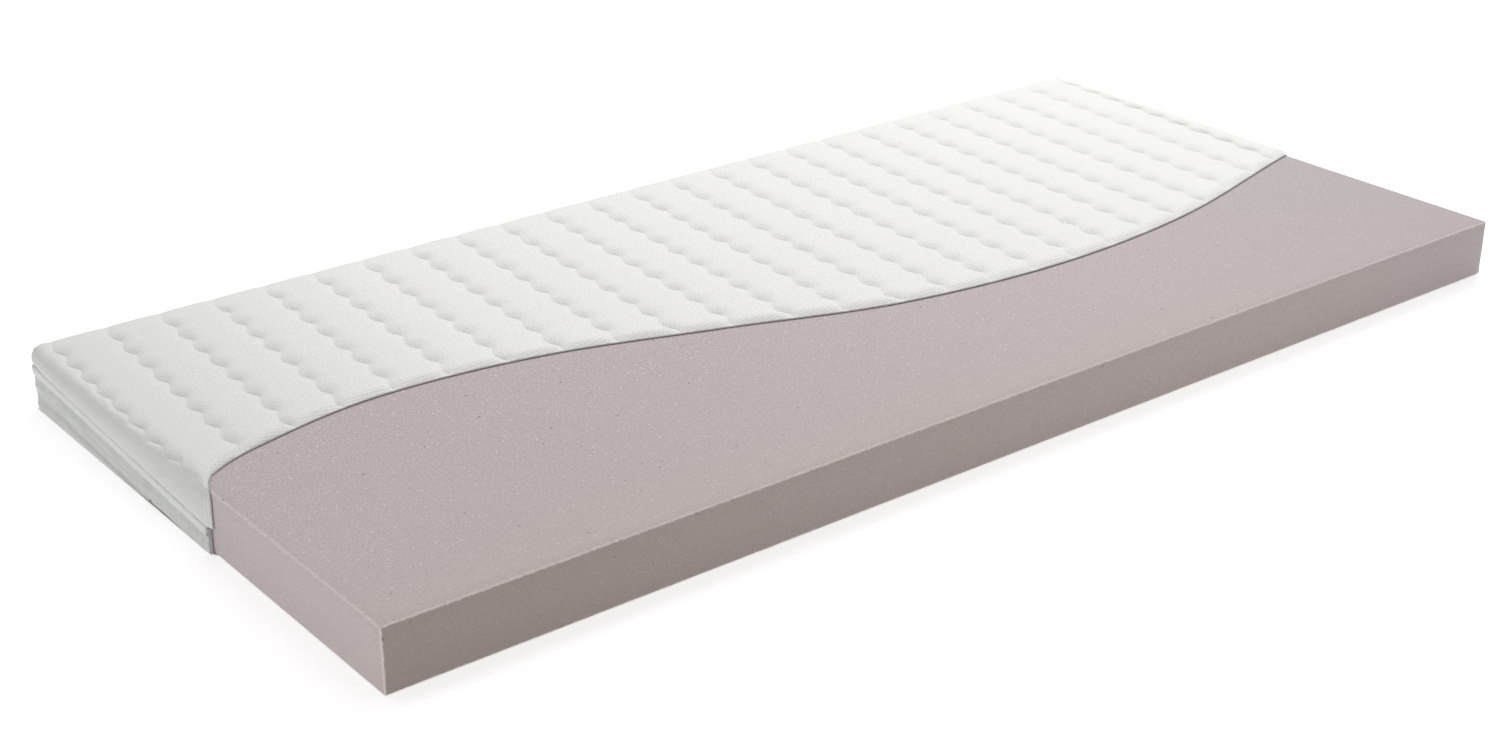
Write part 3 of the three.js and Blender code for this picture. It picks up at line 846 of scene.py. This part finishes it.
class Shader:
    """A principled material that is built up from nodes."""

    def __init__(self, name, roughness, sheen=0.0, metallic=0.0):
        self.material = bpy.data.materials.new(name)
        self.material.use_nodes = True
        self.tree = self.material.node_tree
        self.surface = self.tree.nodes["Principled BSDF"].inputs
        self.surface["Roughness"].default_value = roughness
        self.surface["Metallic"].default_value = metallic
        self.surface["Sheen Weight"].default_value = sheen
        self.surface["Sheen Roughness"].default_value = 0.6
        self.surface["Specular IOR Level"].default_value = 0.25

    def node(self, kind, settings=(), **inputs):
        """A new node with its settings made and its named inputs filled."""
        made = self.tree.nodes.new("ShaderNode" + kind)
        for key, value in dict(settings).items():
            setattr(made, key, value)
        for key, value in inputs.items():
            self.put(made.inputs[key], value)
        return made

    def put(self, socket, value):
        """Fills a socket with a link or a constant."""
        if isinstance(value, bpy.types.NodeSocket):
            self.tree.links.new(value, socket)
        else:
            socket.default_value = value

    def math(self, operation, first, second=0.0, third=0.0):
        made = self.node("Math", {"operation": operation})
        for socket, value in zip(made.inputs, (first, second, third)):
            self.put(socket, value)
        return made.outputs[0]

    def object_place(self):
        """Where a point is on the object."""
        return self.node("TexCoord").outputs["Object"]

    def cloth_place(self):
        """Where a point is on the flat cloth."""
        return self.node("Attribute", {"attribute_name": "cloth_place"}).outputs["Vector"]

    def noise(self, place, scale, detail=2.0, roughness=0.5):
        made = self.node("TexNoise", Vector=place, Scale=scale, Detail=detail, Roughness=roughness)
        return made.outputs["Fac"]

    def cells(self, place, scale):
        return self.node("TexVoronoi", Vector=place, Scale=scale)

    def wave(self, value, pitch, shift=0.0):
        """A sine wave along a value."""
        return self.math("SINE", self.math("MULTIPLY_ADD", value, math.tau / pitch, shift))

    def parts(self, vector):
        """The three coordinates of a vector."""
        return self.node("SeparateXYZ", Vector=vector).outputs

    def facing(self, axis):
        """How squarely the surface faces along an axis."""
        return self.math("ABSOLUTE", self.parts(self.node("NewGeometry").outputs["Normal"])[axis])

    def spots(self, cells, chance, size):
        """Round spots in those few cells whose own random number is high enough."""
        number = self.node("SeparateColor", Color=cells.outputs["Color"]).outputs[0]
        spot = self.between(cells.outputs["Distance"], *size)
        return self.math("MULTIPLY", self.between(number, *chance), spot)

    def between(self, value, low, high, to_low=0.0, to_high=1.0):
        """Moves a value from one range to another, and keeps it there."""
        limits = {"From Min": low, "From Max": high, "To Min": to_low, "To Max": to_high}
        return self.node("MapRange", {"clamp": True}, Value=value, **limits).outputs["Result"]

    def blend(self, share, first, second):
        """Mixes two colours, from the first at 0 to the second at 1. Each is a link or a screen colour."""
        made = self.node("Mix", {"data_type": "RGBA"})
        self.put(made.inputs[0], share)
        for socket, colour in ((made.inputs[6], first), (made.inputs[7], second)):
            self.put(socket, linear(*colour) if isinstance(colour, tuple) else colour)
        return made.outputs[2]

    def colour(self, value):
        self.put(self.surface["Base Color"], value)

    def rough(self, value):
        self.put(self.surface["Roughness"], value)

    def bump(self, height, distance, strength=1.0):
        made = self.node("Bump", Height=height, Distance=distance, Strength=strength)
        self.put(self.surface["Normal"], made.outputs["Normal"])


def foam_material():
    """Fine open-cell foam with bright specks, dark pores and painted highlights along the edges.

    Part of the light is painted in: each layer is a share of the surface and the colour laid over it.
    """
    made = Shader("foam_finish", roughness=0.95, sheen=0.15)
    place = made.object_place()
    along, across, _ = made.parts(place)
    cloud = made.noise(place, 2.2, detail=3)
    mottle = made.noise(place, 38, detail=4, roughness=0.6)
    grain = made.noise(place, 360, detail=5, roughness=0.8)
    cells = made.cells(place, 230)
    speck = made.spots(cells, chance=(0.94, 0.95), size=(0.42, 0.25))
    pore = made.spots(made.cells(place, 95), chance=(0.955, 0.96), size=(0.19, 0.11))
    side_shade = made.between(along, -HALF_LENGTH, HALF_LENGTH, 0.56, 0.20)
    layers = {
        "clouds": (made.between(cloud, 0.35, 0.65), (199, 188, 191)),
        "mottles": (made.between(mottle, 0.3, 0.7, 0.0, 0.35), (188, 177, 178)),
        "hollows": (made.between(grain, 0.38, 0.60, 1.0, 0.0), (172, 161, 163)),
        # painted highlights on the crests of the grain, where the bump rises
        "painted grain highlights": (made.between(grain, 0.50, 0.66, 0.0, 0.50), (222, 212, 213)),
        "specks": (made.math("MULTIPLY", speck, 0.6), (238, 230, 232)),
        "pores": (made.math("MULTIPLY", pore, 0.65), (88, 78, 78)),
        "near part": (made.between(across, CORE_LOW.y, 0.0, 0.5, 0.0), (190, 178, 171)),
        # painted shade on the long sides, strongest towards the left end
        "shaded long sides": (made.math("MULTIPLY", made.facing(1), side_shade), (110, 99, 90)),
        # painted light on the end faces of the block
        "lit short sides": (made.math("MULTIPLY", made.facing(0), 0.06), (222, 208, 209)),
        # painted shade towards the right end of the block, a greyer tone
        "right end": (made.between(along, 0.35, HALF_LENGTH, 0.0, 0.32), (158, 153, 156)),
        # painted highlights: a pale line along each edge of the block where light catches it
        "painted edge highlights": (painted_edge_highlight(made, place), (226, 216, 213)),
    }
    tone = (196, 184, 185)
    for share, colour in layers.values():
        tone = made.blend(share, tone, colour)
    made.colour(tone)
    relief = made.math("MULTIPLY_ADD", cells.outputs["Distance"], 0.5, grain)
    made.bump(made.math("SUBTRACT", relief, made.math("MULTIPLY", pore, 2.0)), 0.0006, 0.55)
    return made.material


def painted_edge_highlight(made, place):
    """A share for the painted highlight along the edges of the foam block: highest on the edges, fading
    within a few millimetres.
    """
    middle = (0.0, CORE_MIDDLE.y, CORE_MIDDLE.z)
    half = (HALF_LENGTH, HALF_WIDTH, (CORE_TOP - CORE_BOTTOM) / 2)
    depths = []
    for part, centre, reach in zip(made.parts(place), middle, half):
        offset = made.math("ABSOLUTE", made.math("SUBTRACT", part, centre))
        depths.append(made.math("SUBTRACT", reach, offset))
    low = made.math("MINIMUM", depths[0], depths[1])
    high = made.math("MAXIMUM", depths[0], depths[1])
    from_edge = made.math("MAXIMUM", low, made.math("MINIMUM", high, depths[2]))
    limit = made.between(made.noise(place, 260, detail=3), 0.3, 0.7, 0.0016, 0.0032)
    return made.between(made.math("DIVIDE", from_edge, limit), 0.5, 1.2, 0.7, 0.0)


def knitted(name, tone_low, tone_high, scale, height, end_shade):
    """A fine double knit: rows of loops with a soft fuzz, with painted shade on the ends and towards the
    left.
    """
    made = Shader(name, roughness=0.92, sheen=0.35)
    place = made.cloth_place()
    along, across, _ = made.parts(place)
    wale = made.wave(along, 0.0017 * scale)
    course = made.wave(across, 0.0023 * scale, made.math("MULTIPLY", wale, 0.9))
    loops = made.between(made.math("MULTIPLY", wale, course), -1.0, 1.0)
    fuzz = made.noise(place, 1500)
    grain = made.noise(place, 260, detail=4, roughness=0.8)
    shade = made.math("MULTIPLY_ADD", loops, 0.35, made.math("MULTIPLY", grain, 0.65))
    tone = made.blend(made.between(shade, 0.3, 0.7), tone_low, tone_high)
    # painted shade on faces turned towards the ends, as strong as end_shade
    end = made.math("MULTIPLY", made.math("POWER", made.facing(0), 2.0), end_shade)
    tone = made.blend(end, tone, (168, 171, 167))
    # painted shade growing towards the left end
    left_shade = made.between(along, -HALF_LENGTH - 0.03, -0.5, 0.34, 0.0)
    made.colour(made.blend(left_shade, tone, (196, 197, 193)))
    made.rough(made.between(fuzz, 0.3, 0.7, 0.86, 0.97))
    made.bump(made.math("MULTIPLY_ADD", fuzz, 0.4, loops), height, 0.5)
    return made.material


def matted(name, tone_low, tone_high):
    """Loose fibres pressed together."""
    made = Shader(name, roughness=0.97, sheen=0.3)
    fibres = made.noise(made.object_place(), 420, detail=5, roughness=0.7)
    made.colour(made.blend(made.between(fibres, 0.35, 0.65), tone_low, tone_high))
    made.bump(fibres, 0.0008, 0.7)
    return made.material


def woven(name, tone_low, tone_high, pitch):
    """A plain weave."""
    made = Shader(name, roughness=0.9, sheen=0.15)
    place = made.cloth_place()
    along, across, _ = made.parts(place)
    crossing = made.math("MULTIPLY", made.wave(along, pitch), made.wave(across, pitch))
    weave = made.between(crossing, -1.0, 1.0)
    patch = made.noise(place, 30, detail=3)
    shade = made.math("MULTIPLY_ADD", patch, 0.6, made.math("MULTIPLY", weave, 0.4))
    made.colour(made.blend(made.between(shade, 0.25, 0.75), tone_low, tone_high))
    made.bump(weave, 0.00025, 0.6)
    return made.material


def ribbed(name, tone_low, tone_high):
    """A ribbed knit: the ribs are in the mesh, and the yarn's loops and the shade between ribs are here."""
    made = Shader(name, roughness=0.93, sheen=0.25)
    place = made.cloth_place()
    along, across, _ = made.parts(place)
    rib = made.wave(along, RIB_PITCH, math.pi / 2)
    loop = made.wave(across, 0.0019)
    fuzz = made.noise(place, 900)
    patch = made.math("MULTIPLY", made.noise(place, 45, detail=4), 0.5)
    shade = made.math("MULTIPLY_ADD", rib, 0.55, made.math("MULTIPLY_ADD", loop, 0.1, patch))
    made.colour(made.blend(made.between(shade, -0.4, 0.9), tone_low, tone_high))
    made.bump(made.math("MULTIPLY_ADD", fuzz, 0.5, loop), 0.0002, 0.5)
    return made.material


def yarn(name, tone_low, tone_high, scale, roughness):
    """Twisted thread."""
    made = Shader(name, roughness=roughness, sheen=0.2)
    strand = made.noise(made.object_place(), scale, detail=3)
    made.colour(made.blend(made.between(strand, 0.3, 0.7), tone_low, tone_high))
    made.bump(strand, 0.0002, 0.5)
    return made.material


def plastic(name, tone_low, tone_high):
    """Nylon wire with a slight gloss."""
    made = Shader(name, roughness=0.45)
    haze = made.noise(made.object_place(), 300, detail=3)
    made.colour(made.blend(made.between(haze, 0.35, 0.65), tone_low, tone_high))
    made.rough(made.between(haze, 0.3, 0.7, 0.38, 0.55))
    made.bump(haze, 0.00005, 0.3)
    return made.material


def metal(name, tone_low, tone_high):
    """Worn plated metal with fine scratches."""
    made = Shader(name, roughness=0.35, metallic=1.0)
    place = made.object_place()
    stretched = made.node("Mapping", Vector=place, Scale=(300.0, 2600.0, 2600.0)).outputs[0]
    scratch = made.noise(stretched, 1.0, detail=4, roughness=0.7)
    smudge = made.noise(place, 180, detail=3)
    made.colour(made.blend(made.between(smudge, 0.3, 0.7), tone_low, tone_high))
    made.rough(made.between(made.math("MULTIPLY_ADD", scratch, 0.6, smudge), 0.5, 1.1, 0.24, 0.52))
    made.bump(scratch, 0.00004, 0.4)
    return made.material


def all_materials():
    """Every material by its short name, most from a dark and a light screen colour."""
    return {
        "foam": foam_material(),
        "knit": knitted(
            "knit_finish", (217, 216, 211), (255, 255, 251), scale=1.9, height=0.0006, end_shade=0.40),
        "piping": knitted(
            "piping_finish", (206, 208, 206), (238, 239, 236), scale=1.5, height=0.0003, end_shade=0.05),
        "wadding": matted("wadding_finish", (236, 236, 233), (250, 250, 248)),
        "cord": matted("cord_finish", (226, 225, 220), (243, 242, 238)),
        "backing": woven("backing_finish", (214, 214, 211), (234, 234, 231), pitch=0.0016),
        "thread": yarn("thread_finish", (232, 231, 226), (247, 246, 243), scale=700, roughness=0.75),
        "border": ribbed("border_finish", (160, 164, 162), (236, 237, 234)),
        # the binding's dark grey is partly its thread's own tone and partly painted shade along the cut
        "binding": yarn("binding_and_cut_shade_finish", (158, 151, 154), (194, 187, 190), scale=900, roughness=0.88),
        "base": woven("base_finish", (205, 206, 202), (226, 227, 223), pitch=0.0022),
        "tape": woven("tape_finish", (226, 226, 221), (244, 243, 239), pitch=0.0011),
        "coil": plastic("coil_finish", (232, 232, 227), (246, 246, 242)),
        "metal": metal("metal_finish", (176, 178, 181), (208, 209, 211)),
    }


# ---- stage

CAMERA_TURN = -38.31
CAMERA_RISE = 24.73
CAMERA_DISTANCE = 3.064
CAMERA_TARGET = (-0.198, -0.123, 0.040)
CAMERA_LENS = 55.18
FLOOR_HALF = 12.0
FLOOR_DROP = 0.0002


def aimed(name, data, target, turn, rise, distance):
    """A camera or light that is turned and raised round a target, in degrees, and looks at it."""
    turn = math.radians(turn)
    rise = math.radians(rise)
    level = math.cos(rise)
    away = Vector((math.sin(turn) * level, -math.cos(turn) * level, math.sin(rise)))
    made = bpy.data.objects.new(name, data)
    made.location = Vector(target) + away * distance
    made.rotation_mode = "QUATERNION"
    made.rotation_quaternion = (-away).to_track_quat("-Z", "Y")
    bpy.context.scene.collection.objects.link(made)
    return made


def camera():
    """The camera, with the view that the mattress is shown from."""
    data = bpy.data.cameras.new("camera")
    data.lens = CAMERA_LENS
    data.sensor_width = 36.0
    made = aimed("camera", data, CAMERA_TARGET, CAMERA_TURN, CAMERA_RISE, CAMERA_DISTANCE)
    bpy.context.scene.camera = made


def area_light(name, turn, rise, distance, width, height, power, target=(0, 0, 0)):
    """A rectangular light."""
    data = bpy.data.lights.new(name, "AREA")
    data.shape = "RECTANGLE"
    data.size = width
    data.size_y = height
    data.energy = power
    aimed(name, data, target, turn, rise, distance)


def floor():
    """A wide white floor just under the mattress."""
    mesh = bpy.data.meshes.new("floor")
    corners = [(x * FLOOR_HALF, y * FLOOR_HALF, 0) for x, y in ((-1, -1), (1, -1), (1, 1), (-1, 1))]
    mesh.from_pydata(corners, [], [(0, 1, 2, 3)])
    made = bpy.data.objects.new("floor", mesh)
    made.location.z = -FLOOR_DROP
    bpy.context.scene.collection.objects.link(made)
    finish = Shader("floor_finish", roughness=0.9)
    finish.colour(linear(248, 248, 248))
    finish.surface["Emission Color"].default_value = (1.0, 1.0, 1.0, 1.0)
    finish.surface["Emission Strength"].default_value = 0.42
    mesh.materials.append(finish.material)


def studio():
    """A bright even surrounding, three lights and the floor."""
    world = bpy.data.worlds.new("studio")
    world.use_nodes = True
    sky = world.node_tree.nodes["Background"]
    sky.inputs["Color"].default_value = (1.0, 1.0, 1.0, 1.0)
    sky.inputs["Strength"].default_value = 0.52
    bpy.context.scene.world = world
    bpy.context.scene.view_settings.view_transform = "Standard"
    area_light(
        "key", turn=122, rise=46, distance=4.4, width=2.6, height=2.0, power=106, target=(0.05, 0, 0))
    area_light("overhead", turn=0, rise=88, distance=3.4, width=3.2, height=2.2, power=18)
    area_light("left_fill", turn=-82, rise=14, distance=3.4, width=2.0, height=1.4, power=4)
    floor()


# ---- the mattress

camera()
studio()
materials = all_materials()
foam_block(materials["foam"])
base_panel(materials["base"])
panel = Panel()
knit_points, knit_outwards = quilted_panel(panel, materials)
for row in range(ROW_COUNT):
    quilting_row(row, panel, knit_points, knit_outwards, materials["thread"])
piping(materials)
border_band("border_upper_band", ZIP_HALF_WINDOW, BORDER_TOP, materials["border"], "cover_top")
border_band("border_lower_band", -PIPING_RIGHT, -ZIP_HALF_WINDOW, materials["border"], "base")
zip_tape("zip_tape_upper", TAPE_FROM_MIDDLE, TAPE_HALF_WIDTH, materials["tape"], "cover_top")
zip_tape("zip_tape_lower", -TAPE_HALF_WIDTH, -TAPE_FROM_MIDDLE, materials["tape"], "base")
zip_coil("zip_coil_upper", 1, materials["coil"], "cover_top")
zip_coil("zip_coil_lower", -1, materials["coil"], "base")
cut_edge_bindings(panel, knit_points, knit_outwards, materials["binding"])
for node in ("zip_slider", "zip_pull_tab", "zip_stop_start", "zip_stop_end"):
    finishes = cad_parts[node].data.materials
    finishes.clear()
    finishes.append(materials["metal"])
